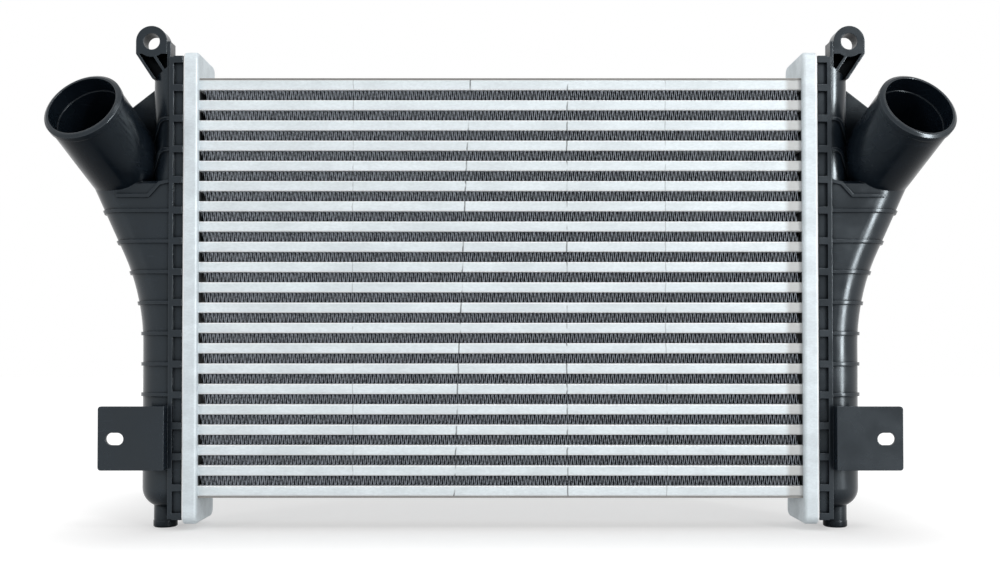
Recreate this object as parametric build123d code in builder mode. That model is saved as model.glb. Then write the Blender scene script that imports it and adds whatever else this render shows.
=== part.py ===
from build123d import *
import math
import os

# A front-mounted charge-air cooler: a brazed aluminium tube-and-fin core, an aluminium header pan crimped
# over each end, and two mirror-image moulded end tanks with a hose neck, an eye, a peg and a bracket plate.
# Millimetres. X runs along the tubes, Y from front to back, Z up. The two pegs stand on Z = 0, and the
# origin lies under the middle of the whole envelope, from the hose lips in front to the pans behind.

os.makedirs("parts", exist_ok=True)

# Core
tube_count = 21
tube_height = 10.4
tube_depth = 56.0
tube_wall = 0.8
tube_end_play = 2.5  # how far a tube stands out of the pan's floor
fin_height = 9.97
fin_sheet = 0.5
fin_setback = 1.0  # from the tubes' front and back edges
fin_end_gap = 1.5  # between a fin's last fold and the pan
fin_pitch = 54.0
turbulator_sheet = 0.5
turbulator_pitch = 54.0
side_plate_sheet = 1.6
core_half_length = 302.5  # from the middle to the pan's floor
core_mid_z = 243.0
braze_gap = 0.05  # what is left between brazed parts

# Header pans
pan_sheet = 2.0
pan_width = 15.0
pan_side_gap = 6.0  # from a tube's front or back edge to the pan's outer wall
pan_height = 473.0
pan_corner = 8.0
pan_bevel = 2.5  # the bend between its floor and its wall
crimp = 1.8  # how far the rim is turned in past the pan's wall
slot_play = 0.1

# Seals
seal_height = 3.0
seal_play = 0.3  # to the pan's wall
seal_tube_gap = 0.4

# Tank foot
wall = 3.0
foot_play = 0.3
strip_play = 0.4
strip_end_setback = 5.0
ridge_offset = 9.5  # from the pan's rim
ridge_width = 4.5
ridge_inset = 1.0  # its front and back faces, inside the pan's
ridge_end_setback = 5.5
lug_count = 14
lug_pitch = 30.75
lug_height = 7.0
end_lug_setback = 8.0

# Tank body
body_inset = 4.0  # its front and back faces, inside the pan's
body_bottom = 21.0
body_bottom_round = 20.0
column_out = 47.4  # from the pan's rim to the outer wall of the lower column
body_nose_flat = 2.0  # left between the rounds along the outer edges of the column and the flare
flare_z = 234.3  # where the lower column and the flare would meet without their blend
flare_angle = 24.5
flare_blend = 225.0
flare_top = 350.0
shoulder_bevel = 3.0
upper_out = 35.2  # from the pan's rim to the outer wall of the slim column beside the neck
upper_round = 22.0
upper_top = 467.0
upper_slope_drop = 16.0
rib_width = 3.4
rib_proud = 1.8
bent_rib_drop = 26.0
bent_rib_radius = 9.0
shoulder_rib_z = 335.0

# Hose neck
elbow_out = 67.4  # from the pan's rim to the elbow's centre
elbow_y = -4.5
elbow_z = 371.3
neck_length = 87.9
neck_rise = 29.7
neck_toe_out = 12.6
neck_root_radius = 39.6
neck_radius = 38.3  # at the bead
bead_radius = 39.5
bead_width = 7.0
lip_radius = 36.6
lip_length = 2.0
mouth_bore_radius = 34.6
bore_step = 0.9
bore_step_depth = 17.0
bore_end = 9.0  # behind the elbow's centre
throat_radius = 24.0  # of the way down from the elbow into the body
web_sheet = 3.5
web_top_z = 449.5
web_end_drop = 43.0
web_end_run = 55.0

# Mounting eye
eye_out = 33.2  # from the pan's rim to the hole's axis
eye_z = 490.5
eye_radius = 15.6
eye_hole_radius = 8.25
eye_front = -29.0
eye_depth = 17.0
eye_foot_z = 478.0
eye_rib = 3.2
eye_back_sheet = 3.0
eye_rib_lean = 16.5
eye_rib_drop = 25.0

# Bracket plate
plate_width = 64.8
plate_bottom = 61.6
plate_height = 63.0
plate_sheet = 3.5
plate_front = -46.0
plate_corner = 3.0
plate_rib = 3.0
plate_rib_inset = 12.0
plate_slot_inset = 16.5  # from the plate's outer edge to the slot's middle
plate_slot_rise = 31.0  # from the plate's bottom edge to the slot's middle
plate_slot_length = 17.6
plate_slot_radius = 6.1

# Peg
peg_out = 25.2  # from the pan's rim to the peg's axis
peg_radius = 12.0
peg_chamfer = 1.2
peg_shoulder_z = 6.5
peg_shoulder = 0.5

# Places and sizes that follow from the sizes above
pan_depth = tube_depth + 2 * pan_side_gap
ridge_depth = pan_depth - 2 * ridge_inset
body_depth = pan_depth - 2 * body_inset
body_round = (body_depth - body_nose_flat) / 2
rim_x = core_half_length + pan_width
seat_x = core_half_length + pan_sheet + seal_height
ridge_x = rim_x + ridge_offset
body_x = ridge_x + ridge_width
column_x = rim_x + column_out
upper_x = rim_x + upper_out
elbow_x = rim_x + elbow_out
eye_x = rim_x + eye_out
peg_x = rim_x + peg_out
plate_x = body_x + plate_width
tube_pitch = tube_height + fin_height
stack_height = tube_count * tube_height + (tube_count - 1) * fin_height
first_tube_z = core_mid_z - stack_height / 2 + tube_height / 2
tube_half_length = core_half_length + pan_sheet + tube_end_play
flare_lean = math.radians(flare_angle)
flare_top_x = column_x + (flare_top - flare_z) * math.tan(flare_lean)
first_lug_z = core_mid_z - lug_pitch * (lug_count - 1) / 2
lug_heights = [first_lug_z + i * lug_pitch for i in range(lug_count)]
neck_tilt = math.radians(neck_rise)
neck_turn = math.radians(neck_toe_out)
neck_out = math.cos(neck_tilt) * math.sin(neck_turn)
neck_forward = math.cos(neck_tilt) * math.cos(neck_turn)
neck_up = math.sin(neck_tilt)
lip_front = elbow_y - neck_length * neck_forward - lip_radius * math.sqrt(1 - neck_forward**2)
core_y = -(lip_front + pan_depth / 2) / 2


def level(z):
    """A level plane at height z, its origin on the core's middle plane."""
    return Plane(origin=(0, core_y, z))


def facing(y):
    """An upright plane that looks forwards, y behind the core's middle plane; its axes are X and Z."""
    return Plane(origin=(0, core_y + y, 0), x_dir=(1, 0, 0), z_dir=(0, -1, 0))


def across(x):
    """An upright plane square to the tubes at x; its axes are Y, from the core's middle plane, and Z."""
    return Plane(origin=(x, core_y, 0), x_dir=(0, 1, 0), z_dir=(1, 0, 0))


def corrugated(length, pitch, height, sheet):
    """Corners of a folded sheet's edge: folds to and fro along the length, crests the height apart."""
    folds = 2 * max(1, round(length / pitch))
    step = length / folds
    thickness = sheet * math.hypot(step, height) / step
    crest = (height - thickness) / 2
    middle = [(i * step - length / 2, crest * (-1) ** i) for i in range(folds + 1)]
    upper = [(u, v + thickness / 2) for u, v in middle]
    lower = [(u, v - thickness / 2) for u, v in reversed(middle)]
    return upper + lower


def flared_body(inner_x, inset, blend):
    """The body below the neck: upright, then widening to a level top, its outer edges rounded."""
    with BuildPart() as body:
        with BuildSketch(facing(0)) as outline:
            Polygon(
                (inner_x - inset, body_bottom),
                (column_x, body_bottom),
                (column_x, flare_z),
                (flare_top_x, flare_top),
                (inner_x - inset, flare_top),
                align=None,
            )
            if blend:
                fillet(outline.vertices().sort_by(Axis.Y)[2], blend)
            offset(amount=-inset, kind=Kind.INTERSECTION)
        extrude(amount=body_depth / 2 - inset, both=True)
        sides = body.faces().filter_by(Axis.Y)
        outer = [side.edges().filter_by(Axis.X, reverse=True).sort_by(Axis.X)[1:] for side in sides]
        fillet(outer[0] + outer[1], body_round - inset)
    return body.part


def slim_column(inner_x, inset):
    """The slim upper part of the body beside the neck, its top falling away outwards."""
    top = upper_top - inset
    edge = upper_x - inset
    with BuildPart() as column:
        with BuildSketch(across(inner_x)):
            with Locations((0, flare_z)):
                Rectangle(body_depth - 2 * inset, top - flare_z, align=(Align.CENTER, Align.MIN))
        extrude(amount=edge - inner_x)
        fillet(column.edges().filter_by(Axis.Z).group_by(Axis.X)[-1], upper_round - inset)
        with BuildSketch(facing(0)):
            Polygon(
                (upper_x - upper_round, top),
                (upper_x + rib_proud, top),
                (upper_x + rib_proud, top - upper_slope_drop - inset / 2),
                align=None,
            )
        extrude(amount=body_depth, both=True, mode=Mode.SUBTRACT)
    return column.part


def revolved_neck(outline):
    """A solid of revolution on the neck's axis from (radius, distance from the elbow) pairs."""
    neck_axis = Vector(neck_out, -neck_forward, neck_up)
    side = Vector(math.cos(neck_turn), math.sin(neck_turn), 0)
    origin = Vector(elbow_x, core_y + elbow_y, elbow_z)
    with BuildPart() as neck:
        with BuildSketch(Plane(origin=origin, x_dir=side, z_dir=side.cross(neck_axis))):
            Polygon((0, outline[0][1]), *outline, (0, outline[-1][1]), align=None)
        revolve(axis=Axis(origin, neck_axis))
    return neck.part


# Charge tubes, each flat tube open at both ends
for number in range(tube_count):
    tube_z = first_tube_z + number * tube_pitch
    with BuildPart() as charge_tube:
        with BuildSketch(across(0)):
            with Locations((0, tube_z)):
                Rectangle(tube_depth, tube_height)
                Rectangle(tube_depth - 2 * tube_wall, tube_height - 2 * tube_wall, mode=Mode.SUBTRACT)
        extrude(amount=tube_half_length, both=True)
    name = f"charge_tube_{number + 1:02d}"
    charge_tube.part.label = name
    export_step(charge_tube.part, f"parts/{name}.step")

# Turbulators, a folded strip inside each tube
turbulator_width = tube_depth - 2 * tube_wall - 2 * braze_gap
turbulator_height = tube_height - 2 * tube_wall - 2 * braze_gap
turbulator_edge = corrugated(turbulator_width, turbulator_pitch, turbulator_height, turbulator_sheet)
with BuildPart() as turbulators:
    with BuildSketch(across(0)):
        with Locations([(0, first_tube_z + i * tube_pitch) for i in range(tube_count)]):
            Polygon(*turbulator_edge, align=None)
    extrude(amount=core_half_length, both=True)
turbulators.part.label = "turbulators"
export_step(turbulators.part, "parts/turbulators.step")

# Air fins, a folded strip between each pair of tubes
fin_edge = corrugated(2 * (core_half_length - fin_end_gap), fin_pitch, fin_height - 2 * braze_gap, fin_sheet)
for number in range(tube_count - 1):
    fin_z = first_tube_z + (number + 0.5) * tube_pitch
    with BuildPart() as air_fin:
        with BuildSketch(facing(0)):
            with Locations((0, fin_z)):
                Polygon(*fin_edge, align=None)
        extrude(amount=tube_depth / 2 - fin_setback, both=True)
    name = f"air_fin_{number + 1:02d}"
    air_fin.part.label = name
    export_step(air_fin.part, f"parts/{name}.step")

# Side plates, lying on the outermost tubes
side_plates = {
    "side_plate_bottom": core_mid_z - stack_height / 2 - braze_gap - side_plate_sheet,
    "side_plate_top": core_mid_z + stack_height / 2 + braze_gap,
}
for name, plate_z in side_plates.items():
    with BuildPart() as side_plate:
        with BuildSketch(level(plate_z)):
            Rectangle(2 * core_half_length, tube_depth)
        extrude(amount=side_plate_sheet)
    side_plate.part.label = name
    export_step(side_plate.part, f"parts/{name}.step")

# Header pan: a drawn pan with a slot for each tube, its rim turned in over the tank's foot
with BuildPart() as header_right:
    with BuildSketch(across(core_half_length)):
        with Locations((0, core_mid_z)):
            RectangleRounded(pan_depth, pan_height, pan_corner)
    extrude(amount=pan_width)
    chamfer(header_right.faces().sort_by(Axis.X)[0].edges(), pan_bevel)
    with BuildSketch(across(core_half_length + pan_sheet)):
        with Locations((0, core_mid_z)):
            RectangleRounded(pan_depth - 2 * pan_sheet, pan_height - 2 * pan_sheet, pan_corner - pan_sheet)
    extrude(amount=pan_width - 2 * pan_sheet, mode=Mode.SUBTRACT)
    with BuildSketch(across(rim_x)):
        with Locations((0, core_mid_z)):
            lip = pan_sheet + crimp
            RectangleRounded(pan_depth - 2 * lip, pan_height - 2 * lip, pan_corner - lip)
    extrude(amount=-pan_sheet, mode=Mode.SUBTRACT)
    with BuildSketch(across(core_half_length)):
        with Locations([(0, first_tube_z + i * tube_pitch) for i in range(tube_count)]):
            Rectangle(tube_depth + 2 * slot_play, tube_height + 2 * slot_play)
    extrude(amount=pan_sheet, mode=Mode.SUBTRACT)
header_right.part.label = "header_right"
export_step(header_right.part, "parts/header_right.step")

# Seal: a flat rubber ring on the pan's floor, under the tank's foot
seal_depth = pan_depth - 2 * pan_sheet - 2 * seal_play
seal_width = (seal_depth - tube_depth) / 2 - seal_tube_gap
seal_length = pan_height - 2 * pan_sheet - 2 * seal_play
seal_corner = pan_corner - pan_sheet - seal_play
with BuildPart() as seal_right:
    with BuildSketch(across(core_half_length + pan_sheet)):
        with Locations((0, core_mid_z)):
            RectangleRounded(seal_depth, seal_length, seal_corner)
            Rectangle(seal_depth - 2 * seal_width, seal_length - 2 * seal_width, mode=Mode.SUBTRACT)
    extrude(amount=seal_height)
seal_right.part.label = "seal_right"
export_step(seal_right.part, "parts/seal_right.step")

# Hollow inside the end tank: the room within its walls, open towards the pan and at the hose's mouth
bore_radius = mouth_bore_radius - bore_step
bore_step_z = neck_length - bore_step_depth
with BuildPart() as hollow:
    add(flared_body(seat_x, wall, 0))
    chamfer(hollow.faces().sort_by(Axis.Z)[0].edges().sort_by(Axis.X)[3:], body_bottom_round / 2)
    add(slim_column(seat_x, wall))
    with Locations((elbow_x, core_y, elbow_z)):
        Cylinder(throat_radius, elbow_z - flare_top + 2 * wall, align=(Align.CENTER, Align.CENTER, Align.MAX))
    add(
        revolved_neck(
            [
                (bore_radius, -bore_end),
                (bore_radius, bore_step_z),
                (mouth_bore_radius, bore_step_z),
                (mouth_bore_radius, neck_length),
            ]
        )
    )

# Ribs across the body: straight ones at the lugs, and above them ribs on the front that bend down into
# the corner under the neck; each stands proud of the body by the same height
bend_x = upper_x - upper_round / 2
with BuildPart() as ribs:
    with BuildSketch(facing(0)):
        for lug_z in lug_heights[3:-4]:
            with Locations((ridge_x, lug_z)):
                Rectangle(flare_top_x - ridge_x, rib_width, align=(Align.MIN, Align.CENTER))
    extrude(amount=body_depth, both=True)
    for lug_z in lug_heights[-3:-1]:
        with BuildSketch(facing(0)):
            with BuildLine():
                corners = [(ridge_x, lug_z), (bend_x, lug_z), (upper_x, lug_z - bent_rib_drop)]
                FilletPolyline(*corners, radius=bent_rib_radius)
            trace(line_width=rib_width)
        extrude(amount=body_depth)
    with BuildSketch(facing(0)):
        with BuildLine():
            Polyline(
                (ridge_x, lug_heights[-4]),
                (bend_x, lug_heights[-4] - rib_width),
                (upper_x, shoulder_rib_z),
                (elbow_x, shoulder_rib_z),
            )
        trace(line_width=rib_width)
    extrude(amount=body_depth)
with BuildPart() as rib_room:
    add(flared_body(ridge_x, -rib_proud, flare_blend))
    add(slim_column(ridge_x, -rib_proud))
    add(ribs.part, mode=Mode.INTERSECT)

# Body under the neck, its foot end rounded and its shoulder bevelled
with BuildPart() as body_skin:
    add(flared_body(ridge_x, 0, flare_blend))
    chamfer(body_skin.faces().sort_by(Axis.Z)[-1].edges().sort_by(Axis.X)[3:], shoulder_bevel)
    fillet(body_skin.faces().sort_by(Axis.Z)[0].edges().sort_by(Axis.X)[1:], body_bottom_round)

# End tank: one moulding with its foot, body, ribs, hose neck, eye, bracket plate and peg
foot_corner = pan_corner - pan_sheet - foot_play
strip_inset = pan_sheet + crimp + strip_play
with BuildPart() as tank_right:
    # Foot: a flange on the seal under the pan's rim, then a strip and a ridge outside it
    with BuildSketch(across(seat_x)):
        with Locations((0, core_mid_z)):
            foot_inset = pan_sheet + foot_play
            RectangleRounded(pan_depth - 2 * foot_inset, pan_height - 2 * foot_inset, foot_corner)
    extrude(amount=rim_x - pan_sheet - foot_play - seat_x)
    with BuildSketch(across(seat_x)):
        with Locations((0, core_mid_z)):
            Rectangle(pan_depth - 2 * strip_inset, pan_height - 2 * strip_inset - 2 * strip_end_setback)
    extrude(amount=ridge_x - seat_x)
    with BuildSketch(across(ridge_x)):
        with Locations((0, core_mid_z)):
            Rectangle(ridge_depth, pan_height - 2 * ridge_end_setback)
    extrude(amount=ridge_width)
    # Lugs across the strip, from the ridge to the pan's rim
    with BuildSketch(across(rim_x + foot_play)):
        with Locations([(0, lug_z) for lug_z in lug_heights]):
            Rectangle(ridge_depth, lug_height)
        end_lug_z = pan_height / 2 - end_lug_setback
        with Locations((0, core_mid_z + end_lug_z), (0, core_mid_z - end_lug_z)):
            Rectangle(ridge_depth, lug_height)
    extrude(amount=ridge_offset)
    # Body with its ribs
    add(body_skin.part)
    add(slim_column(ridge_x, 0))
    add(rib_room.part)
    # Hose neck on a round elbow, with a web between it and the slim column
    with Locations((elbow_x, core_y + elbow_y, elbow_z)):
        Sphere(neck_root_radius)
    bead_z = neck_length - bead_width
    add(
        revolved_neck(
            [
                (neck_root_radius, 0),
                (neck_radius, bead_z - bead_radius + neck_radius),
                (bead_radius, bead_z),
                (bead_radius, neck_length - lip_length),
                (lip_radius, neck_length),
            ]
        )
    )
    with BuildSketch(facing(0)):
        Polygon(
            (body_x, web_top_z),
            (upper_x, web_top_z),
            (upper_x + web_end_run, web_top_z - web_end_drop),
            (elbow_x, elbow_z),
            (body_x, elbow_z),
            align=None,
        )
    extrude(amount=web_sheet / 2, both=True)
    # Eye on its ribs, above the slim column
    with BuildSketch(facing(eye_front)):
        with Locations((eye_x, eye_z)):
            Circle(eye_radius)
        with Locations((eye_x, (eye_z + eye_foot_z) / 2)):
            Rectangle(2 * eye_radius, eye_z - eye_foot_z)
        with Locations((eye_x, eye_z)):
            Circle(eye_hole_radius, mode=Mode.SUBTRACT)
    extrude(amount=-eye_depth)
    eye_outer_x = eye_x + eye_radius
    eye_rib_foot_z = eye_foot_z - eye_rib_drop
    with BuildSketch(facing(eye_front)):
        for rib_x in (eye_outer_x, eye_x):
            Polygon(
                (rib_x, eye_foot_z),
                (rib_x - eye_rib, eye_foot_z),
                (rib_x - eye_rib - eye_rib_lean, eye_rib_foot_z),
                (rib_x - eye_rib_lean, eye_rib_foot_z),
                align=None,
            )
        with Locations((body_x, eye_rib_foot_z)):
            Rectangle(eye_rib, eye_z - eye_rib_foot_z, align=(Align.MIN, Align.MIN))
    extrude(amount=-eye_depth)
    with BuildSketch(facing(eye_front + eye_depth)):
        Polygon(
            (body_x, eye_foot_z),
            (eye_outer_x, eye_foot_z),
            (eye_outer_x - eye_rib_lean, eye_rib_foot_z),
            (body_x, eye_rib_foot_z),
            align=None,
        )
    extrude(amount=eye_back_sheet)
    # Bracket plate, standing on an inner wall and two ribs
    with BuildSketch(facing(plate_front)) as plate:
        with Locations((body_x, plate_bottom)):
            Rectangle(plate_x - body_x, plate_height, align=(Align.MIN, Align.MIN))
        fillet(plate.vertices().group_by(Axis.X)[-1], plate_corner)
        with Locations((plate_x - plate_slot_inset, plate_bottom + plate_slot_rise)):
            SlotOverall(plate_slot_length, 2 * plate_slot_radius, mode=Mode.SUBTRACT)
    extrude(amount=-plate_sheet)
    with BuildSketch(facing(plate_front)):
        with Locations((body_x, plate_bottom)):
            Rectangle(plate_rib, plate_height, align=(Align.MIN, Align.MIN))
    extrude(amount=plate_front)
    for lug_z in lug_heights[1:3]:
        with BuildSketch(level(lug_z)):
            Polygon(
                (body_x, plate_front + plate_sheet / 2),
                (plate_x - plate_rib_inset, plate_front + plate_sheet / 2),
                (column_x - wall / 2, 0),
                (body_x, 0),
                align=None,
            )
        extrude(amount=plate_rib / 2, both=True)
    # Peg, with a low shoulder
    with BuildSketch(level(0)):
        with Locations((peg_x, 0)):
            Circle(peg_radius)
    extrude(amount=peg_shoulder_z)
    chamfer(tank_right.faces().sort_by(Axis.Z)[0].edges(), peg_chamfer)
    with BuildSketch(level(peg_shoulder_z)):
        with Locations((peg_x, 0)):
            Circle(peg_radius - peg_shoulder)
    extrude(amount=body_bottom + body_bottom_round - peg_shoulder_z)
    add(hollow.part, mode=Mode.SUBTRACT)
tank_right.part.label = "tank_right"
export_step(tank_right.part, "parts/tank_right.step")

# Left end: the right end's parts mirrored across the middle
with BuildPart() as header_left:
    mirror(header_right.part, about=Plane.YZ)
header_left.part.label = "header_left"
export_step(header_left.part, "parts/header_left.step")

with BuildPart() as seal_left:
    mirror(seal_right.part, about=Plane.YZ)
seal_left.part.label = "seal_left"
export_step(seal_left.part, "parts/seal_left.step")

with BuildPart() as tank_left:
    mirror(tank_right.part, about=Plane.YZ)
tank_left.part.label = "tank_left"
export_step(tank_left.part, "parts/tank_left.step")
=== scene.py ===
"""Finishes a packed charge-air cooler: close-folded fins, rounded tubes and pans, materials and a stage."""

import math

import bpy  # noqa: E402
import numpy as np  # noqa: E402
from bpy.props import FloatProperty, FloatVectorProperty, IntProperty, PointerProperty  # noqa: E402
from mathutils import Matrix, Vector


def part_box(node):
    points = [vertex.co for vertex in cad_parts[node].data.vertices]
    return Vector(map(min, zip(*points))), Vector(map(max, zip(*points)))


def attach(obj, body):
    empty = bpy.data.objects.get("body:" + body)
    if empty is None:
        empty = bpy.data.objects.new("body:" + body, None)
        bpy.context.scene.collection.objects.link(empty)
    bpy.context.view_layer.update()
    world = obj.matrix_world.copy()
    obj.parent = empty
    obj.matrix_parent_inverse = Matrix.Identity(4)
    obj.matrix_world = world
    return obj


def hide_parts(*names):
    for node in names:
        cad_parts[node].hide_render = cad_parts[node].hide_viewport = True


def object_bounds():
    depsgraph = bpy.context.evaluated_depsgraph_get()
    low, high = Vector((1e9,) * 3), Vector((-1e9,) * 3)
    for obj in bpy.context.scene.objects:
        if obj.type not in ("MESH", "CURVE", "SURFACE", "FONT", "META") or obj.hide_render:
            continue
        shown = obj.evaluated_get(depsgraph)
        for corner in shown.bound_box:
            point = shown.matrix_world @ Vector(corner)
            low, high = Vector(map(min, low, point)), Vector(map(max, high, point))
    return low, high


bl_info = {
    "name": "Charge-Air Cooler Finish",
    "version": (1, 0, 0),
    "blender": (4, 5, 0),
    "location": "3D Viewport > Sidebar > Cooler",
    "description": "Builds a charge-air cooler's fins, tubes and pans and finishes its metal and plastic",
    "category": "Object",
}

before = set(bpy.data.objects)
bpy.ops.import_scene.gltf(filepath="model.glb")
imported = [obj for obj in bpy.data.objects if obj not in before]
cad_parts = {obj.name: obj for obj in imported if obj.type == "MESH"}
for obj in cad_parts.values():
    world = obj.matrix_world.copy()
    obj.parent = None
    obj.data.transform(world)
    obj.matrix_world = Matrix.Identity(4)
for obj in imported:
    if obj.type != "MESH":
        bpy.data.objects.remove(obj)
CAD_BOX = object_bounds()
TUBE_NODES = sorted(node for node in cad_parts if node.startswith("charge_tube"))
FIN_NODES = sorted(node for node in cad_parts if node.startswith("air_fin"))
PAN_NODES = ("header_left", "header_right")
TANK_NODES = ("tank_left", "tank_right")
CORE_LOW, CORE_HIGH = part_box(TUBE_NODES[0])[0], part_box(TUBE_NODES[-1])[1]
CORE_Y = (CORE_LOW.y + CORE_HIGH.y) / 2
PAN_LOW, PAN_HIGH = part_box("header_right")
FOLD_STEPS = 8
DEPTH_STEPS = (0.0, 0.08, 0.2, 0.5, 0.8, 0.92, 1.0)
# Brazing-wire marks: place along the tubes at WIRE_HEIGHT, lean, half width and depth of tone
WIRE_HEIGHT = 0.23
WIRE_PLACES = (
    (-0.148, 0.0, 0.0008, 0.4),
    (-0.0393, 0.0375, 0.001, 1.0),
    (0.0669, 0.0, 0.001, 0.9),
    (0.1662, 0.0, 0.0008, 0.4),
)
# Painted shadow of the right pan: the tubes are painted greyer to the right of this place, over a border of
# this much before and after it
PAN_SHADOW_START = 0.2868
PAN_SHADOW_BORDER = (-0.003, 0.004)
# Painted shade on the pans' floor where the fins end: this far before and behind the core's middle, from
# unshaded to dark
GAP_SHADE_DEPTH = (0.0285, 0.0265)
GAP_SHADE_BORDER = 0.001
# A flat has a row of points this far from each bend, so that it shades as a flat
FLAT_LEAD = 0.0004
TUBE_SHARP = math.radians(50)
PAN_SHARP = math.radians(40)
FIN_SEED = 11
# Colour of the painted highlight on the tubes' rounded long edges
PAINTED_TUBE_HIGHLIGHT = (0.97, 0.99, 1.0, 1.0)
# Colour of the painted highlight on the pans' outer bends
PAINTED_PAN_HIGHLIGHT = (0.97, 0.98, 0.99, 1.0)
# Tone of the right pan's painted shadow on the tubes
PAN_SHADOW_GREY = (0.47, 0.47, 0.46, 1.0)
# Tone of the painted shade on the pans' floor where the fins end
GAP_SHADE_BLACK = (0.006, 0.006, 0.007, 1.0)
GLOSS_TINT = (0.84, 0.94, 1.0, 1.0)
WHITE = (1.0, 1.0, 1.0, 1.0)
FLOOR_GREY = (0.55, 0.55, 0.55, 1.0)
# The floor runs from and to these X and Y
FLOOR_X = (-6.0, 6.0)
FLOOR_Y = (-4.0, 6.0)
# Where the floor's painted shadow lies: half its length, how far behind it reaches, its soft border and its
# tone
FOOT_HALF_LENGTH = 0.34
FOOT_BEHIND = 0.25
FOOT_FADE = 0.2
FOOT_DEPTH = 0.39
# Each lamp's place, width and height
KEY_LAMP = ((2.6, -3.2, 1.3), 0.3, 2.6)
BAND_LAMP = ((3.0, -3.0, 1.3), 0.75, 2.6)
FILL_LAMP = ((-3.2, -2.9, 1.3), 0.8, 2.0)
TOP_LAMP = ((0.9, -1.4, 2.4), 0.6, 0.6)
CAMERA_SIDE = -0.0034
CAMERA_SENSOR = 36.0
CAMERA_SHIFT = (0.003, 0.0448)


# Sizes and colours that a user would change


class FinSizes(bpy.types.PropertyGroup):
    """Sizes of the folded air fins, in metres."""

    pitch: FloatProperty(
        name="Fold pitch", description="Length of one full fold", default=0.0039, min=0.002, unit="LENGTH"
    )
    sheet: FloatProperty(
        name="Sheet", description="Thickness of the fin sheet", default=0.00046, min=0.0001, unit="LENGTH"
    )
    weave: FloatProperty(
        name="Weave",
        description="How far the folds swing sideways between front and back",
        default=0.0022,
        min=0.0,
        unit="LENGTH",
    )
    weave_length: FloatProperty(
        name="Weave length", description="Depth of one full swing", default=0.024, min=0.005, unit="LENGTH"
    )
    end_gap: FloatProperty(
        name="End gap",
        description="Largest extra gap between a fin's last fold and the header pan",
        default=0.004,
        min=0.0,
        unit="LENGTH",
    )


class TubeSizes(bpy.types.PropertyGroup):
    """Sizes of the flat charge tubes, in metres."""

    corner: FloatProperty(
        name="Corner",
        description="Radius of a tube's long edges",
        default=0.0015,
        min=0.0001,
        unit="LENGTH",
    )
    wall: FloatProperty(
        name="Wall", description="Thickness of a tube's wall", default=0.0008, min=0.0003, unit="LENGTH"
    )
    corner_steps: IntProperty(
        name="Corner steps", description="Faces round each long edge", default=5, min=1, max=16
    )


class PanSizes(bpy.types.PropertyGroup):
    """Sizes of the pressed header pans, in metres."""

    sheet: FloatProperty(
        name="Sheet", description="Thickness of the pan's sheet", default=0.002, min=0.0005, unit="LENGTH"
    )
    lip: FloatProperty(
        name="Lip",
        description="Width of the rim that is turned in",
        default=0.0038,
        min=0.001,
        unit="LENGTH",
    )
    corner: FloatProperty(
        name="Corner",
        description="Radius of the pan's four corners",
        default=0.008,
        min=0.004,
        unit="LENGTH",
    )
    floor_bend: FloatProperty(
        name="Floor bend",
        description="Radius between floor and wall",
        default=0.003,
        min=0.0021,
        unit="LENGTH",
    )
    rim_bend: FloatProperty(
        name="Rim bend",
        description="Radius between wall and rim",
        default=0.0024,
        min=0.0005,
        unit="LENGTH",
    )
    slot_play: FloatProperty(
        name="Slot play",
        description="Gap round each tube in its slot",
        default=0.0001,
        min=0.0,
        unit="LENGTH",
    )
    bend_steps: IntProperty(name="Bend steps", description="Faces round each bend", default=6, min=1, max=16)


class FinishColours(bpy.types.PropertyGroup):
    """Colours of the finishes, linear."""

    tube: FloatVectorProperty(
        name="Tubes", description="Bare brazed tube", default=(0.85, 0.925, 0.96), size=3, subtype="COLOR"
    )
    pan: FloatVectorProperty(
        name="Header pans",
        description="Bare pressed pan",
        default=(0.80, 0.88, 0.925),
        size=3,
        subtype="COLOR",
    )
    plate: FloatVectorProperty(
        name="Side plates",
        description="Dull side plate",
        default=(0.34, 0.335, 0.32),
        size=3,
        subtype="COLOR",
    )
    fin: FloatVectorProperty(
        name="Fin edges",
        description="Cut edge of the fin sheet",
        default=(0.34, 0.37, 0.41),
        size=3,
        subtype="COLOR",
    )
    # Painted shade: the fin sheet's colour deep in the core, darker than at its cut edges
    fin_depth_shade: FloatVectorProperty(
        name="Fin depth",
        description="Fin sheet deep in the core",
        default=(0.008, 0.01, 0.013),
        size=3,
        subtype="COLOR",
    )
    plastic: FloatVectorProperty(
        name="Tank plastic",
        description="Moulded black plastic",
        default=(0.0045, 0.0075, 0.0115),
        size=3,
        subtype="COLOR",
    )
    rubber: FloatVectorProperty(
        name="Seal rubber",
        description="Seal in the header pan",
        default=(0.015, 0.015, 0.015),
        size=3,
        subtype="COLOR",
    )


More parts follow.
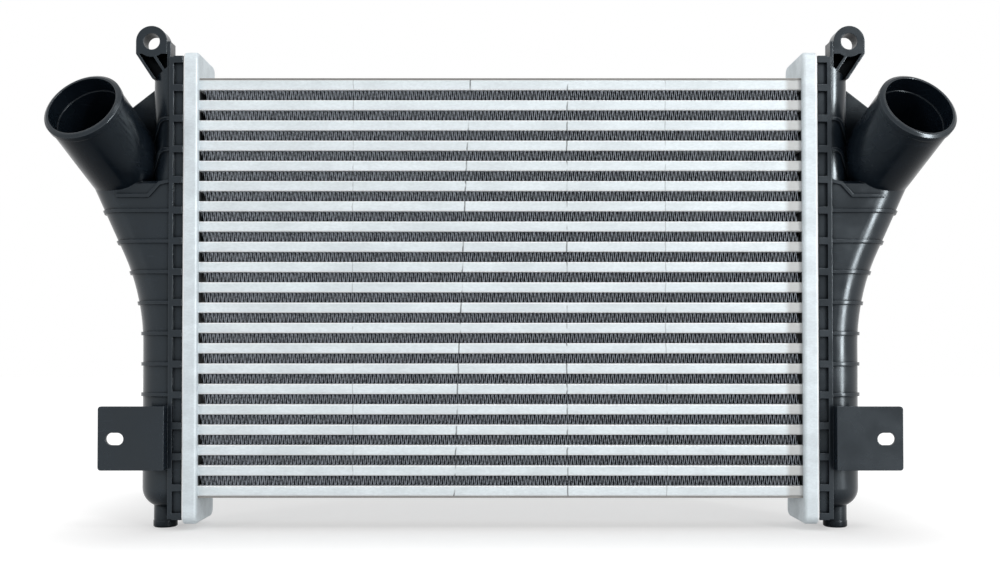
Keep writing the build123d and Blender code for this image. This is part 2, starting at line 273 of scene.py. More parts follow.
class StageSizes(bpy.types.PropertyGroup):
    """Camera, lamps and floor."""

    lens: FloatProperty(
        name="Lens", description="Focal length on a 36 mm sensor, in millimetres", default=39.6, min=10.0
    )
    camera_distance: FloatProperty(
        name="Camera distance",
        description="From the camera to the front of the header pans",
        default=1.0956,
        min=0.2,
        unit="LENGTH",
    )
    camera_height: FloatProperty(
        name="Camera height",
        description="Height of the lens over the floor",
        default=0.1802,
        min=0.0,
        unit="LENGTH",
    )
    camera_pitch: FloatProperty(
        name="Camera pitch",
        description="How far the camera looks up",
        default=math.radians(1.0),
        subtype="ANGLE",
    )
    key_power: FloatProperty(
        name="Key lamp",
        description="Power of the strip lamp at the front right",
        default=46.0,
        min=0.0,
        unit="POWER",
    )
    band_power: FloatProperty(
        name="Band lamp",
        description="Power of the lamp that only gloss shows",
        default=240.0,
        min=0.0,
        unit="POWER",
    )
    fill_power: FloatProperty(
        name="Fill lamp",
        description="Power of the lamp at the front left",
        default=34.0,
        min=0.0,
        unit="POWER",
    )
    top_power: FloatProperty(
        name="Top lamp", description="Power of the soft lamp overhead", default=10.0, min=0.0, unit="POWER"
    )
    room_light: FloatProperty(
        name="Room light", description="Strength of the even light of the room", default=0.62, min=0.0
    )
    floor_lift: FloatProperty(
        name="Floor lift",
        description="White added to the floor where the camera sees it",
        default=0.72,
        min=0.0,
    )


# Mesh helpers


def grid_mesh(name, points, wrap_u=False, wrap_v=False, smooth=True):
    """A mesh, faces outward, from a grid of points of shape (u, v, 3), joined where a direction wraps."""
    rows, columns = points.shape[:2]
    numbers = np.arange(rows * columns).reshape(rows, columns)
    if wrap_u:
        numbers = np.vstack([numbers, numbers[:1]])
    if wrap_v:
        numbers = np.hstack([numbers, numbers[:, :1]])
    quads = np.stack([numbers[:-1, :-1], numbers[1:, :-1], numbers[1:, 1:], numbers[:-1, 1:]], axis=-1)
    quads = quads.reshape(-1, 4)
    a, b, c, d = (points.reshape(-1, 3)[quads[:, corner]] for corner in range(4))
    if np.sum(a * (np.cross(b, c) + np.cross(c, d))) < 0:
        quads = quads[:, ::-1]
    mesh = bpy.data.meshes.new(name)
    mesh.vertices.add(rows * columns)
    mesh.vertices.foreach_set("co", points.reshape(-1).astype(np.float32))
    mesh.loops.add(quads.size)
    mesh.loops.foreach_set("vertex_index", quads.reshape(-1).astype(np.int32))
    mesh.polygons.add(len(quads))
    mesh.polygons.foreach_set("loop_start", np.arange(0, quads.size, 4, dtype=np.int32))
    mesh.polygons.foreach_set("use_smooth", np.full(len(quads), smooth))
    mesh.update(calc_edges=True)
    mesh.validate()
    return mesh


def add_piece(name, mesh, material, slot, *nodes):
    """Links a mesh as a piece of the cooler that stands for the given nodes."""
    piece = bpy.data.objects.new(name, mesh)
    bpy.context.scene.collection.objects.link(piece)
    mesh.materials.append(material)
    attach(piece, "root")
    if nodes:
        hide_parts(*nodes)
    return piece


def finish_nodes(names, material):
    """Gives solids that stay as they are their finish."""
    for name in names:
        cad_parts[name].data.materials[0] = material


# Node helpers


def new_group(name, inputs, outputs):
    """An empty shader node group with named float, colour or vector sockets."""
    group = bpy.data.node_groups.new(name, "ShaderNodeTree")
    for label, kind, default in inputs:
        socket = group.interface.new_socket(label, in_out="INPUT", socket_type=kind)
        socket.default_value = default
    for label, kind in outputs:
        group.interface.new_socket(label, in_out="OUTPUT", socket_type=kind)
    entry = group.nodes.new("NodeGroupInput")
    leave = group.nodes.new("NodeGroupOutput")
    return group, entry, leave


def node(tree, kind, links=None, **settings):
    """Adds a node, sets its own settings and input values, and links inputs from other sockets."""
    made = tree.nodes.new(kind)
    for key, value in settings.items():
        setattr(made, key, value)
    for key, value in (links or {}).items():
        if isinstance(value, bpy.types.NodeSocket):
            tree.links.new(value, made.inputs[key])
        else:
            made.inputs[key].default_value = value
    return made


def math_node(tree, operation, first, second=0.0, third=0.0):
    """The result of a Math node."""
    return node(tree, "ShaderNodeMath", {0: first, 1: second, 2: third}, operation=operation).outputs[0]


def mix_colour(tree, factor, first, second):
    """The result of a colour Mix node: first at factor 0 and second at factor 1."""
    return node(tree, "ShaderNodeMix", {0: factor, 6: first, 7: second}, data_type="RGBA").outputs[2]


def ramp(tree, factor, low, high):
    """A value that climbs smoothly from 0 at low to 1 at high."""
    links = {"Value": factor, "From Min": low, "From Max": high}
    return node(tree, "ShaderNodeMapRange", links, interpolation_type="SMOOTHSTEP").outputs["Result"]


def object_place(tree):
    """Where a point lies on the piece."""
    return node(tree, "ShaderNodeTexCoord").outputs["Object"]


def xyz_parts(tree, vector):
    """The X, Y and Z of a vector."""
    return node(tree, "ShaderNodeSeparateXYZ", {0: vector}).outputs


def facing_parts(tree):
    """The X, Y and Z of the surface's direction."""
    return xyz_parts(tree, node(tree, "ShaderNodeNewGeometry").outputs["Normal"])


def rgba(colour):
    """A colour with full alpha."""
    return (*colour, 1.0)


def blotch_group():
    """Soft blotches and fine speckle on Object coordinates, as two values from 0 to 1."""
    group, entry, leave = new_group(
        "soft_blotches",
        [("Scale", "NodeSocketFloat", 60.0), ("Stretch", "NodeSocketVector", (1.0, 1.0, 1.0))],
        [("Blotch", "NodeSocketFloat"), ("Speckle", "NodeSocketFloat")],
    )
    place = object_place(group)
    stretched = node(
        group, "ShaderNodeVectorMath", {0: place, 1: entry.outputs["Stretch"]}, operation="MULTIPLY"
    ).outputs[0]
    wide = node(
        group,
        "ShaderNodeTexNoise",
        {"Vector": stretched, "Scale": entry.outputs["Scale"], "Detail": 3.0, "Roughness": 0.55},
    ).outputs["Fac"]
    fine_scale = math_node(group, "MULTIPLY", entry.outputs["Scale"], 14.0)
    fine = node(
        group,
        "ShaderNodeTexNoise",
        {"Vector": stretched, "Scale": fine_scale, "Detail": 2.0, "Roughness": 0.6},
    ).outputs["Fac"]
    group.links.new(ramp(group, wide, 0.3, 0.7), leave.inputs["Blotch"])
    group.links.new(ramp(group, fine, 0.3, 0.72), leave.inputs["Speckle"])
    return group


def scuff_group():
    """Fine straight scratches in a few directions, as a value that is 1 on a scratch."""
    group, entry, leave = new_group(
        "light_scuffs",
        [("Scale", "NodeSocketFloat", 40.0), ("Amount", "NodeSocketFloat", 0.5)],
        [("Scuff", "NodeSocketFloat")],
    )
    place = object_place(group)
    total = None
    for turn in (0.35, 1.25, 2.2):
        turned = node(
            group,
            "ShaderNodeMapping",
            {"Vector": place, "Rotation": (0.0, turn, 0.6 * turn), "Scale": (1.0, 0.35, 14.0)},
        ).outputs[0]
        streak = node(
            group, "ShaderNodeTexNoise", {"Vector": turned, "Scale": entry.outputs["Scale"], "Detail": 1.0}
        ).outputs["Fac"]
        line = ramp(group, streak, 0.68, 0.76)
        total = line if total is None else math_node(group, "MAXIMUM", total, line)
    patch_links = {"Vector": place, "Scale": 22.0, "Detail": 2.0}
    patches = node(group, "ShaderNodeTexNoise", patch_links).outputs["Fac"]
    kept = math_node(group, "MULTIPLY", total, ramp(group, patches, 0.45, 0.62))
    group.links.new(math_node(group, "MULTIPLY", kept, entry.outputs["Amount"]), leave.inputs["Scuff"])
    return group


def edge_group():
    """How sharply the surface turns at a point: 1 on a sharp edge and 0 on a flat."""
    group, entry, leave = new_group(
        "edge_catch", [("Radius", "NodeSocketFloat", 0.0008)], [("Edge", "NodeSocketFloat")]
    )
    rounded = node(group, "ShaderNodeBevel", {"Radius": entry.outputs["Radius"]}, samples=4).outputs["Normal"]
    plain = node(group, "ShaderNodeNewGeometry").outputs["Normal"]
    both = {0: rounded, 1: plain}
    along = node(group, "ShaderNodeVectorMath", both, operation="DOT_PRODUCT").outputs["Value"]
    group.links.new(ramp(group, along, 0.995, 0.86), leave.inputs["Edge"])
    return group


def new_material(name):
    """A material with a Principled BSDF, its tree and that shader."""
    material = bpy.data.materials.new(name)
    material.use_nodes = True
    shader = material.node_tree.nodes["Principled BSDF"]
    return material, material.node_tree, shader


def bump(tree, shader, height, strength, distance, normal=None):
    """Feeds a height into the shader's normal."""
    links = {"Height": height, "Strength": strength, "Distance": distance}
    if normal is not None:
        links["Normal"] = normal
    made = node(tree, "ShaderNodeBump", links)
    tree.links.new(made.outputs["Normal"], shader.inputs["Normal"])


def aluminium(name, colour, groups, scale, roughness):
    """Bare brazed aluminium, blotched and a little stained. Returns it with its tree, shader and colour."""
    material, tree, shader = new_material(name)
    blotches = node(tree, "ShaderNodeGroup", node_tree=groups["blotches"])
    blotches.inputs["Scale"].default_value = scale
    blotches.inputs["Stretch"].default_value = (0.45, 1.0, 1.0)
    blotch, speckle = blotches.outputs["Blotch"], blotches.outputs["Speckle"]
    dull = rgba([c * 0.8 for c in colour])
    shade = mix_colour(tree, math_node(tree, "MULTIPLY", blotch, 0.7), rgba(colour), dull)
    stain = rgba([c * 0.55 for c in colour])
    shade = mix_colour(tree, math_node(tree, "MULTIPLY", speckle, 0.2), shade, stain)
    tree.links.new(shade, shader.inputs["Base Color"])
    rough = math_node(tree, "MULTIPLY_ADD", blotch, 0.12, roughness)
    tree.links.new(rough, shader.inputs["Roughness"])
    shader.inputs["Metallic"].default_value = 0.08
    shader.inputs["Specular IOR Level"].default_value = 0.15
    bump(tree, shader, speckle, 0.12, 0.0002)
    return material, tree, shader, shade


def tube_metal(name, colour, groups):
    """Tube aluminium: a painted highlight on its long edges, brazing-wire marks, and the right pan's painted
    shadow, a greyer band by that pan.
    """
    material, tree, shader, shade = aluminium(name, colour, groups, 38.0, 0.4)
    parts = xyz_parts(tree, object_place(tree))
    # Painted highlight: the rounded long edges are mixed towards near white by their facing
    edge = ramp(tree, math_node(tree, "ABSOLUTE", facing_parts(tree)["Z"]), 0.1, 0.5)
    shade = mix_colour(tree, math_node(tree, "MULTIPLY", edge, 0.9), shade, PAINTED_TUBE_HIGHLIGHT)
    # Painted shadow: the tubes are painted greyer by the right pan, where it shades them
    pan_shadow = ramp(tree, parts["X"], PAN_SHADOW_START + PAN_SHADOW_BORDER[0], PAN_SHADOW_START + PAN_SHADOW_BORDER[1])
    shade = mix_colour(tree, math_node(tree, "MULTIPLY", pan_shadow, 0.8), shade, PAN_SHADOW_GREY)
    shade = mix_colour(tree, wire_marks(tree), shade, rgba([c * 0.22 for c in colour]))
    tree.links.new(shade, shader.inputs["Base Color"])
    return material


def wire_marks(tree):
    """Thin upright marks at a few places along the tubes, broken and a little out of line from row to row."""
    place = object_place(tree)
    parts = xyz_parts(tree, place)
    drift = node(tree, "ShaderNodeTexNoise", {"Vector": place, "Scale": 3.1, "Detail": 2.0}).outputs["Fac"]
    jitter = node(tree, "ShaderNodeTexNoise", {"Vector": place, "Scale": 90.0, "Detail": 1.0}).outputs["Fac"]
    wander = math_node(tree, "MULTIPLY_ADD", drift, 0.006, -0.003)
    sway = math_node(tree, "MULTIPLY_ADD", jitter, 0.003, -0.0015)
    along = math_node(tree, "ADD", math_node(tree, "ADD", parts["X"], wander), sway)
    kept = ramp(tree, jitter, 0.36, 0.56)
    total = None
    for middle, lean, width, depth in WIRE_PLACES:
        line = math_node(tree, "MULTIPLY_ADD", parts["Z"], -lean, lean * WIRE_HEIGHT - middle)
        away = math_node(tree, "ABSOLUTE", math_node(tree, "ADD", along, line))
        mark = math_node(tree, "MULTIPLY", ramp(tree, away, width, width * 0.3), depth)
        total = mark if total is None else math_node(tree, "MAXIMUM", total, mark)
    return math_node(tree, "MULTIPLY", total, kept)


def pan_metal(name, colour, groups):
    """Pan aluminium: a painted highlight on its outer edge, and painted shade on its floor where the fins
    end.
    """
    material, tree, shader, shade = aluminium(name, colour, groups, 60.0, 0.42)
    parts = xyz_parts(tree, object_place(tree))
    outward = math_node(tree, "MULTIPLY", facing_parts(tree)["X"], math_node(tree, "SIGN", parts["X"]))
    # Painted highlight: surfaces turned away from the core are mixed towards near white
    edge = math_node(tree, "MULTIPLY", ramp(tree, outward, 0.1, 0.4), 0.85)
    shade = mix_colour(tree, edge, shade, PAINTED_PAN_HIGHLIGHT)
    # Painted shade: the floor inside the pan, within the core's depth and height, is painted near black
    depth = math_node(tree, "ABSOLUTE", math_node(tree, "SUBTRACT", parts["Y"], CORE_Y))
    middle = (CORE_LOW.z + CORE_HIGH.z) / 2
    height = math_node(tree, "ABSOLUTE", math_node(tree, "SUBTRACT", parts["Z"], middle))
    inside = ramp(tree, outward, -0.8, -0.95)
    inside = math_node(tree, "MULTIPLY", inside, ramp(tree, depth, *GAP_SHADE_DEPTH))
    top = (CORE_HIGH.z - CORE_LOW.z) / 2
    inside = math_node(tree, "MULTIPLY", inside, ramp(tree, height, top + GAP_SHADE_BORDER, top - GAP_SHADE_BORDER))
    shade = mix_colour(tree, math_node(tree, "MULTIPLY", inside, 0.93), shade, GAP_SHADE_BLACK)
    tree.links.new(shade, shader.inputs["Base Color"])
    return material


def fin_sheet(name, colours, low_y, high_y):
    """Fin sheet: grey at its cut edges, and near black deep in the core as painted shade."""
    material, tree, shader = new_material(name)
    place = object_place(tree)
    depth = xyz_parts(tree, place)["Y"]
    middle, half = (low_y + high_y) / 2, (high_y - low_y) / 2
    # Painted shade: the sheet goes from its grey cut edges to near black deep in the core
    away = math_node(tree, "ABSOLUTE", math_node(tree, "SUBTRACT", depth, middle))
    edge = ramp(tree, away, half - 0.0022, half - 0.0001)
    grain = node(tree, "ShaderNodeTexNoise", {"Vector": place, "Scale": 420.0, "Detail": 2.0}).outputs["Fac"]
    edge = math_node(tree, "MULTIPLY", edge, ramp(tree, grain, 0.1, 0.75))
    shade = mix_colour(tree, edge, rgba(colours.fin_depth_shade), rgba(colours.fin))
    tree.links.new(shade, shader.inputs["Base Color"])
    shader.inputs["Metallic"].default_value = 0.25
    shader.inputs["Roughness"].default_value = 0.6
    shader.inputs["Specular IOR Level"].default_value = 0.15
    return material


def moulded_plastic(name, colour, groups):
    """Black moulded plastic: satin, cloudy, with light scuffs, a painted highlight on its edges, painted
    shade in its corners and recesses (colour and gloss), and painted shade underneath (less gloss).
    """
    material, tree, shader = new_material(name)
    blotches = node(tree, "ShaderNodeGroup", node_tree=groups["blotches"])
    blotches.inputs["Scale"].default_value = 26.0
    scuffs = node(tree, "ShaderNodeGroup", node_tree=groups["scuffs"])
    scuffs.inputs["Amount"].default_value = 0.5
    edges = node(tree, "ShaderNodeGroup", node_tree=groups["edges"])
    edges.inputs["Radius"].default_value = 0.0013
    blotch, speckle = blotches.outputs["Blotch"], blotches.outputs["Speckle"]
    pale = rgba([c * 3.0 + 0.01 for c in colour])
    cloudy = rgba([c * 1.5 for c in colour])
    shade = mix_colour(tree, math_node(tree, "MULTIPLY", blotch, 0.5), rgba(colour), cloudy)
    shade = mix_colour(tree, math_node(tree, "MULTIPLY", scuffs.outputs["Scuff"], 0.6), shade, pale)
    # Painted highlight: edges, convex and concave, are mixed paler
    painted_edge_highlight = rgba([c * 3.0 + 0.035 for c in colour])
    shade = mix_colour(tree, math_node(tree, "MULTIPLY", edges.outputs["Edge"], 0.7), shade, painted_edge_highlight)
    rounded = node(tree, "ShaderNodeBevel", {"Radius": 0.0011}, samples=6).outputs["Normal"]
    upward = xyz_parts(tree, rounded)["Z"]
    open_air = node(tree, "ShaderNodeAmbientOcclusion", {"Distance": 0.017}, samples=6).outputs["AO"]
    # Painted shade: gloss is lowered on faces turned down and in corners and recesses
    gloss = math_node(tree, "MULTIPLY", ramp(tree, upward, -1.0, -0.05), ramp(tree, open_air, 0.3, 1.0))
    # Painted shade: the colour is darkened in corners and recesses by ambient occlusion
    shade = mix_colour(tree, ramp(tree, open_air, 0.8, 0.2), shade, rgba([c * 0.25 for c in colour]))
    tree.links.new(shade, shader.inputs["Base Color"])
    rough = math_node(tree, "MULTIPLY_ADD", blotch, 0.12, 0.17)
    tree.links.new(rough, shader.inputs["Roughness"])
    level = math_node(tree, "MULTIPLY_ADD", gloss, 0.4, 0.04)
    tree.links.new(level, shader.inputs["Specular IOR Level"])
    shader.inputs["Specular Tint"].default_value = GLOSS_TINT
    bump(tree, shader, speckle, 0.06, 0.0001, rounded)
    return material


def seal_rubber(name, colour):
    """Matt black rubber with a fine grain."""
    material, tree, shader = new_material(name)
    place = object_place(tree)
    grain = node(tree, "ShaderNodeTexNoise", {"Vector": place, "Scale": 900.0, "Detail": 2.0}).outputs["Fac"]
    shade = mix_colour(tree, grain, rgba(colour), rgba([c * 1.8 for c in colour]))
    tree.links.new(shade, shader.inputs["Base Color"])
    shader.inputs["Roughness"].default_value = 0.85
    bump(tree, shader, grain, 0.2, 0.0001)
    return material


def make_finishes():
    """Builds the shared groups and the materials once, and returns the materials by slot."""
    colours = bpy.context.scene.cooler_colours
    groups = {"blotches": blotch_group(), "scuffs": scuff_group(), "edges": edge_group()}
    low_y, high_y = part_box(FIN_NODES[0])[0].y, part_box(FIN_NODES[0])[1].y
    return {
        "tube_aluminium": tube_metal("tube_aluminium", colours.tube, groups),
        "plate_aluminium": aluminium("plate_aluminium", colours.plate, groups, 38.0, 0.45)[0],
        "pan_aluminium": pan_metal("pan_aluminium", colours.pan, groups),
        "fin_aluminium": fin_sheet("fin_aluminium", colours, low_y, high_y),
        "tank_plastic": moulded_plastic("tank_plastic", colours.plastic, groups),
        "seal_rubber": seal_rubber("seal_rubber", colours.rubber),
    }


def finish(slot):
    """The material of a slot."""
    found = bpy.data.materials.get(slot + "_finish")
    if found is None:
        raise RuntimeError(f"the finish {slot} isn't made yet: make the finishes first")
    return found


# Pieces


def folded_sheet(length, height, sheet, pitch, weave, weave_length, depth, shift):
    """Points of a folded fin as a closed shell of shape (along, round, 3).

    Along the strip the sheet's middle goes to and fro between round crests: z = crest * s * (1.5 - s * s / 2)
    with s = sin(2 pi u), where u counts the folds. Every fold swings sideways with the depth, x = u * pitch +
    weave * sin(2 pi y / weave_length). The two skins stand half a sheet either side of that middle along its
    normal, the front and back edges join them, and they close on each other at the two ends.
    """
    folds = max(1, round(length / pitch))
    u = np.arange(folds * FOLD_STEPS + 1) / FOLD_STEPS
    x = (u / folds - 0.5) * length + shift
    wave = np.sin(2 * math.pi * u)
    z = (height - sheet) / 2 * wave * (1.5 - wave * wave / 2)
    tangent = np.stack([np.gradient(x), np.gradient(z)])
    normal = tangent[::-1] * np.array([[-1.0], [1.0]]) / np.hypot(*tangent)
    half = np.full(len(u), sheet / 2)
    half[[0, -1]] = 0.0
    y = (np.array(DEPTH_STEPS) - 0.5) * depth
    swing = weave * np.sin(2 * math.pi * (y + depth / 2) / weave_length)
    # The swing dies away towards the strip's two ends
    reach = np.clip((length / 2 - np.abs(x - shift)) / (4 * weave), 0.0, 1.0)[:, None]
    skins = []
    for side in (1.0, -1.0):
        skin_x = (x + side * half * normal[0])[:, None] + swing * reach
        skin_z = np.broadcast_to((z + side * half * normal[1])[:, None], skin_x.shape)
        skins.append(np.stack([skin_x, np.broadcast_to(y, skin_x.shape), skin_z], axis=-1))
    return np.concatenate([skins[0], skins[1][:, ::-1]], axis=1)


class COOLER_OT_finishes(bpy.types.Operator):
    """Builds the materials of the tubes, pans, fins, tanks and seals"""

    bl_idname = "cooler.finishes"
    bl_label = "Finishes"

    def execute(self, context):
        for slot, material in make_finishes().items():
            material.name = slot + "_finish"
        return {"FINISHED"}


class COOLER_OT_air_fins(bpy.types.Operator):
    """Replaces each coarse air fin by one that is folded closely"""

    bl_idname = "cooler.air_fins"
    bl_label = "Air Fins"

    def execute(self, context):
        sizes = context.scene.cooler_fins
        chance = np.random.default_rng(FIN_SEED)
        for name in FIN_NODES:
            low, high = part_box(name)
            trim = chance.uniform(0.0, sizes.end_gap, 2)
            length = high.x - low.x - trim.sum()
            shift = (trim[0] - trim[1]) / 2
            points = folded_sheet(
                length,
                high.z - low.z,
                sizes.sheet,
                sizes.pitch,
                sizes.weave,
                sizes.weave_length,
                high.y - low.y,
                shift,
            )
            points = points + np.array([0.0, (low.y + high.y) / 2, (low.z + high.z) / 2])
            mesh = grid_mesh(name + "_folded", points, wrap_v=True, smooth=False)
            add_piece(name + "_folded", mesh, finish("fin_aluminium"), "fin_aluminium", name)
        return {"FINISHED"}


def rounded_rectangle(width, height, radius, steps):
    """Points round a rectangle with round corners, anticlockwise, as an array of shape (points, 2).

    Each corner is centre + radius * (cos a, sin a), with a point a little way along each side that it leads
    into, so that the flats between the corners shade as flats.
    """
    turn = np.linspace(0.0, math.pi / 2, steps + 1)
    lead = min(radius, FLAT_LEAD)
    corners = []
    for quarter, (sign_x, sign_y) in enumerate(((1, 1), (-1, 1), (-1, -1), (1, -1))):
        angle = turn + quarter * math.pi / 2
        centre = np.array([sign_x * (width / 2 - radius), sign_y * (height / 2 - radius)])
        arc = centre + radius * np.stack([np.cos(angle), np.sin(angle)], axis=-1)
        along = np.stack([-np.sin(angle), np.cos(angle)], axis=-1)
        corners += [arc[:1] - lead * along[:1], arc, arc[-1:] + lead * along[-1:]]
    return np.concatenate(corners)


class COOLER_OT_charge_tubes(bpy.types.Operator):
    """Replaces each charge tube by one with rounded long edges"""

    bl_idname = "cooler.charge_tubes"
    bl_label = "Charge Tubes"

    def execute(self, context):
        sizes = context.scene.cooler_tubes
        for name in TUBE_NODES:
            low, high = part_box(name)
            depth, height = high.y - low.y, high.z - low.z
            outer = rounded_rectangle(depth, height, sizes.corner, sizes.corner_steps)
            bore_corner = max(sizes.corner - sizes.wall, 0.0002)
            bore = (depth - 2 * sizes.wall, height - 2 * sizes.wall)
            inner = rounded_rectangle(*bore, bore_corner, sizes.corner_steps)
            # The skin goes along outside, over the end, back inside, and over the other end
            rings = [(outer, low.x), (outer, high.x), (inner, high.x), (inner, low.x)]
            points = np.stack([np.insert(ring, 0, x, axis=1) for ring, x in rings])
            points = points + np.array([0.0, (low.y + high.y) / 2, (low.z + high.z) / 2])
            mesh = grid_mesh(name + "_rounded", points[:, ::-1], wrap_u=True, wrap_v=True)
            mesh.set_sharp_from_angle(angle=TUBE_SHARP)
            add_piece(name + "_rounded", mesh, finish("tube_aluminium"), "tube_aluminium", name)
        return {"FINISHED"}


def pan_section(sizes, low_x, high_x):
    """Points (inset from the outer wall, x) of a pan's skin: floor bend, wall, rim bend, lip and back inside.

    A bend of radius r about (r, c) is (r - r sin a, c - r cos a) for a from 0 to a right angle.
    """
    turn = np.linspace(0.0, math.pi / 2, sizes.bend_steps + 1)
    floor, rim, sheet = sizes.floor_bend, sizes.rim_bend, sizes.sheet
    outer_floor = np.stack([floor - floor * np.sin(turn), low_x + floor - floor * np.cos(turn)], axis=-1)
    outer_rim = np.stack([rim - rim * np.cos(turn), high_x - rim + rim * np.sin(turn)], axis=-1)
    wall = np.array([[0.0, low_x + floor + FLAT_LEAD], [0.0, high_x - rim - FLAT_LEAD]])
    edge = np.array([[sizes.lip, high_x], [sizes.lip, high_x - sheet], [sheet, high_x - sheet]])
    inner = floor - sheet
    inner_floor = np.stack([floor - inner * np.sin(turn), low_x + floor - inner * np.cos(turn)], axis=-1)
    return np.concatenate([outer_floor, wall, outer_rim, edge, inner_floor[::-1]])


def pan_points(sizes, low, high, slots):
    """Points of a pan's shell: its section carried round a rounded rectangle, in to the slots' edges."""
    width, height = high.y - low.y, high.z - low.z
    section = pan_section(sizes, low.x, high.x)
    section = np.concatenate([section[:1], section, section[-1:]])
    rings = []
    for row, (inset, x) in enumerate(section):
        if row in (0, len(section) - 1):
            ring = rounded_rectangle(*slots, sizes.slot_play, sizes.bend_steps)
        else:
            corner = max(sizes.corner - inset, sizes.slot_play)
            ring = rounded_rectangle(width - 2 * inset, height - 2 * inset, corner, sizes.bend_steps)
        rings.append(np.insert(ring, 0, x, axis=1))
    return np.stack(rings) + np.array([0.0, (low.y + high.y) / 2, (low.z + high.z) / 2])


def bridge_blocks(low_x, high_x, low_y, high_y, low_z, high_z):
    """Vertices and faces of a row of blocks, one for each pair of heights."""
    corners = np.array([[x, y, z] for x in (0, 1) for y in (0, 1) for z in (0, 1)])
    blocks = np.empty((len(low_z), 8, 3))
    blocks[:, :, 0] = np.where(corners[:, 0], high_x, low_x)
    blocks[:, :, 1] = np.where(corners[:, 1], high_y, low_y)
    blocks[:, :, 2] = np.where(corners[:, 2], high_z[:, None], low_z[:, None])
    sides = np.array([[0, 1, 3, 2], [4, 6, 7, 5], [0, 4, 5, 1], [2, 3, 7, 6], [0, 2, 6, 4], [1, 5, 7, 3]])
    faces = sides[None] + 8 * np.arange(len(low_z))[:, None, None]
    return blocks.reshape(-1, 3), faces.reshape(-1, 4)


class COOLER_OT_header_pans(bpy.types.Operator):
    """Replaces each header pan by one with round bends"""

    bl_idname = "cooler.header_pans"
    bl_label = "Header Pans"

    def execute(self, context):
        sizes = context.scene.cooler_pans
        tubes = [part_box(name) for name in TUBE_NODES]
        floors = np.array([box[0].z for box in tubes]) - sizes.slot_play
        roofs = np.array([box[1].z for box in tubes]) + sizes.slot_play
        slot_depth = CORE_HIGH.y - CORE_LOW.y + 2 * sizes.slot_play
        for name in PAN_NODES:
            points = pan_points(sizes, PAN_LOW, PAN_HIGH, (slot_depth, roofs[-1] - floors[0]))
            corners, faces = bridge_blocks(
                PAN_LOW.x,
                PAN_LOW.x + sizes.sheet,
                CORE_Y - slot_depth / 2,
                CORE_Y + slot_depth / 2,
                roofs[:-1],
                floors[1:],
            )
            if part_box(name)[1].x < 0:
                points = points * np.array([-1.0, 1.0, 1.0])
                corners = corners * np.array([-1.0, 1.0, 1.0])
                faces = faces[:, ::-1]
            mesh = grid_mesh(name + "_pressed", points, wrap_u=True, wrap_v=True)
            mesh.set_sharp_from_angle(angle=PAN_SHARP)
            add_piece(name + "_pressed", mesh, finish("pan_aluminium"), "pan_aluminium", name)
            bridges = bpy.data.meshes.new(name + "_bridges")
            bridges.from_pydata(corners.tolist(), [], faces.tolist())
            add_piece(name + "_bridges", bridges, finish("pan_aluminium"), "pan_aluminium")
        return {"FINISHED"}


class COOLER_OT_solid_finishes(bpy.types.Operator):
    """Gives the tanks, seals, side plates and turbulators their finishes"""

    bl_idname = "cooler.solid_finishes"
    bl_label = "Tanks and Seals"

    def execute(self, context):
        finish_nodes(TANK_NODES, finish("tank_plastic"))
        finish_nodes(("seal_left", "seal_right"), finish("seal_rubber"))
        finish_nodes(("side_plate_bottom", "side_plate_top", "turbulators"), finish("plate_aluminium"))
        return {"FINISHED"}


def seen_rays(tree):
    """1 for rays from the camera, in a reflection or through glass, and 0 for light."""
    path = node(tree, "ShaderNodeLightPath")
    seen = math_node(tree, "MAXIMUM", path.outputs["Is Camera Ray"], path.outputs["Is Glossy Ray"])
    return math_node(tree, "MAXIMUM", seen, path.outputs["Is Transmission Ray"])


def floor_finish(lift):
    """White floor with a painted shadow: the white added for the camera fades out round the piece, so that
    the floor's rendered shadow shows there.
    """
    material, tree, shader = new_material("floor_white")
    shader.inputs["Base Color"].default_value = FLOOR_GREY
    shader.inputs["Roughness"].default_value = 0.9
    shader.inputs["Specular IOR Level"].default_value = 0.0
    seen = seen_rays(tree)
    parts = xyz_parts(tree, object_place(tree))
    beside = math_node(tree, "SUBTRACT", math_node(tree, "ABSOLUTE", parts["X"]), FOOT_HALF_LENGTH)
    before = math_node(tree, "SUBTRACT", PAN_LOW.y, parts["Y"])
    behind = math_node(tree, "SUBTRACT", parts["Y"], FOOT_BEHIND)
    beside = math_node(tree, "MAXIMUM", beside, 0.0)
    before = math_node(tree, "MAXIMUM", math_node(tree, "MAXIMUM", before, behind), 0.0)
    beside = math_node(tree, "POWER", beside, 2.0)
    before = math_node(tree, "POWER", before, 2.0)
    away = math_node(tree, "SQRT", math_node(tree, "ADD", beside, before))
    # Painted shadow: the added white is cut round the piece's footprint
    shadow = math_node(tree, "MULTIPLY", ramp(tree, away, FOOT_FADE, 0.0), FOOT_DEPTH)
    clear = math_node(tree, "SUBTRACT", 1.0, shadow)
    strength = math_node(tree, "MULTIPLY", math_node(tree, "MULTIPLY", seen, lift), clear)
    glow = node(tree, "ShaderNodeEmission", {"Color": WHITE, "Strength": strength})
    both = node(tree, "ShaderNodeAddShader", {0: shader.outputs[0], 1: glow.outputs[0]})
    tree.links.new(both.outputs[0], tree.nodes["Material Output"].inputs["Surface"])
    return material


def room(strength):
    """World that lights evenly at the given strength and shows white to the camera and in reflections."""
    world = bpy.data.worlds.new("studio_room")
    world.use_nodes = True
    tree = world.node_tree
    seen = seen_rays(tree)
    levels = {"Value": seen, "To Min": strength, "To Max": 1.0}
    level = node(tree, "ShaderNodeMapRange", levels).outputs["Result"]
    background = tree.nodes["Background"]
    background.inputs["Color"].default_value = WHITE
    tree.links.new(level, background.inputs["Strength"])
    bpy.context.scene.world = world


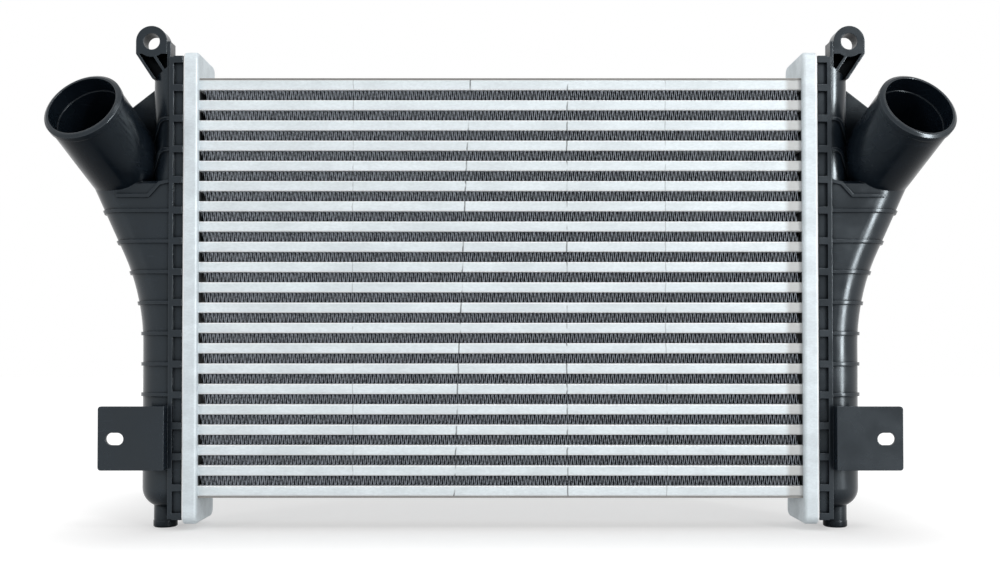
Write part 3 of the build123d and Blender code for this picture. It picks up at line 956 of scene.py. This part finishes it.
def soft_lamp(name, setting, target, power):
    """A rectangular soft lamp, set by its place, width and height, that points at a target."""
    place, width, height = setting
    lamp = bpy.data.lights.new(name, "AREA")
    lamp.shape = "RECTANGLE"
    lamp.size, lamp.size_y, lamp.energy = width, height, power
    holder = bpy.data.objects.new(name, lamp)
    bpy.context.scene.collection.objects.link(holder)
    holder.location = place
    direction = target - holder.location
    holder.rotation_euler = direction.to_track_quat("-Z", "Y").to_euler()
    return holder


class COOLER_OT_stage(bpy.types.Operator):
    """Sets the floor, the room, the lamps and the camera"""

    bl_idname = "cooler.stage"
    bl_label = "Stage"

    def execute(self, context):
        scene = context.scene
        sizes = scene.cooler_stage
        (left, right), (front, back) = FLOOR_X, FLOOR_Y
        corners = [(left, front, 0.0), (right, front, 0.0), (right, back, 0.0), (left, back, 0.0)]
        mesh = bpy.data.meshes.new("floor")
        mesh.from_pydata(corners, [], [(0, 1, 2, 3)])
        floor = bpy.data.objects.new("floor", mesh)
        scene.collection.objects.link(floor)
        mesh.materials.append(floor_finish(sizes.floor_lift))
        room(sizes.room_light)
        middle = (CAD_BOX[0] + CAD_BOX[1]) / 2
        soft_lamp("key_lamp", KEY_LAMP, middle, sizes.key_power)
        band = soft_lamp("band_lamp", BAND_LAMP, middle, sizes.band_power)
        band.visible_diffuse = False
        fill = soft_lamp("fill_lamp", FILL_LAMP, middle, sizes.fill_power)
        fill.visible_glossy = False
        soft_lamp("top_lamp", TOP_LAMP, middle, sizes.top_power)
        camera = bpy.data.cameras.new("camera")
        camera.lens = sizes.lens
        camera.sensor_width = CAMERA_SENSOR
        camera.shift_x, camera.shift_y = CAMERA_SHIFT
        holder = bpy.data.objects.new("camera", camera)
        scene.collection.objects.link(holder)
        holder.location = (CAMERA_SIDE, PAN_LOW.y - sizes.camera_distance, sizes.camera_height)
        holder.rotation_euler = (math.pi / 2 + sizes.camera_pitch, 0.0, 0.0)
        scene.camera = holder
        scene.view_settings.view_transform = "Standard"
        return {"FINISHED"}


class COOLER_PT_panel(bpy.types.Panel):
    """Lists the cooler's pieces and their sizes"""

    bl_idname = "COOLER_PT_panel"
    bl_label = "Charge-Air Cooler"
    bl_space_type = "VIEW_3D"
    bl_region_type = "UI"
    bl_category = "Cooler"

    def draw(self, context):
        layout = self.layout
        for settings in (
            context.scene.cooler_colours,
            context.scene.cooler_fins,
            context.scene.cooler_tubes,
            context.scene.cooler_pans,
            context.scene.cooler_stage,
        ):
            box = layout.box()
            for name in settings.__annotations__:
                box.prop(settings, name)
        for operator in OPERATORS:
            layout.operator(operator.bl_idname)


GROUPS = {
    "cooler_fins": FinSizes,
    "cooler_tubes": TubeSizes,
    "cooler_pans": PanSizes,
    "cooler_colours": FinishColours,
    "cooler_stage": StageSizes,
}
OPERATORS = (
    COOLER_OT_finishes,
    COOLER_OT_air_fins,
    COOLER_OT_charge_tubes,
    COOLER_OT_header_pans,
    COOLER_OT_solid_finishes,
    COOLER_OT_stage,
)


def register():
    """Registers the settings, the operators and the panel."""
    for name, group in GROUPS.items():
        bpy.utils.register_class(group)
        setattr(bpy.types.Scene, name, PointerProperty(type=group))
    for operator in OPERATORS:
        bpy.utils.register_class(operator)
    bpy.utils.register_class(COOLER_PT_panel)


def unregister():
    """Takes away what register added."""
    bpy.utils.unregister_class(COOLER_PT_panel)
    for operator in reversed(OPERATORS):
        bpy.utils.unregister_class(operator)
    for name, group in reversed(GROUPS.items()):
        delattr(bpy.types.Scene, name)
        bpy.utils.unregister_class(group)


def main():
    """Builds the cooler's pieces and the stage."""
    register()
    bpy.ops.cooler.finishes()
    bpy.ops.cooler.air_fins()
    bpy.ops.cooler.charge_tubes()
    bpy.ops.cooler.header_pans()
    bpy.ops.cooler.solid_finishes()
    bpy.ops.cooler.stage()


if __name__ == "__main__":
    main()
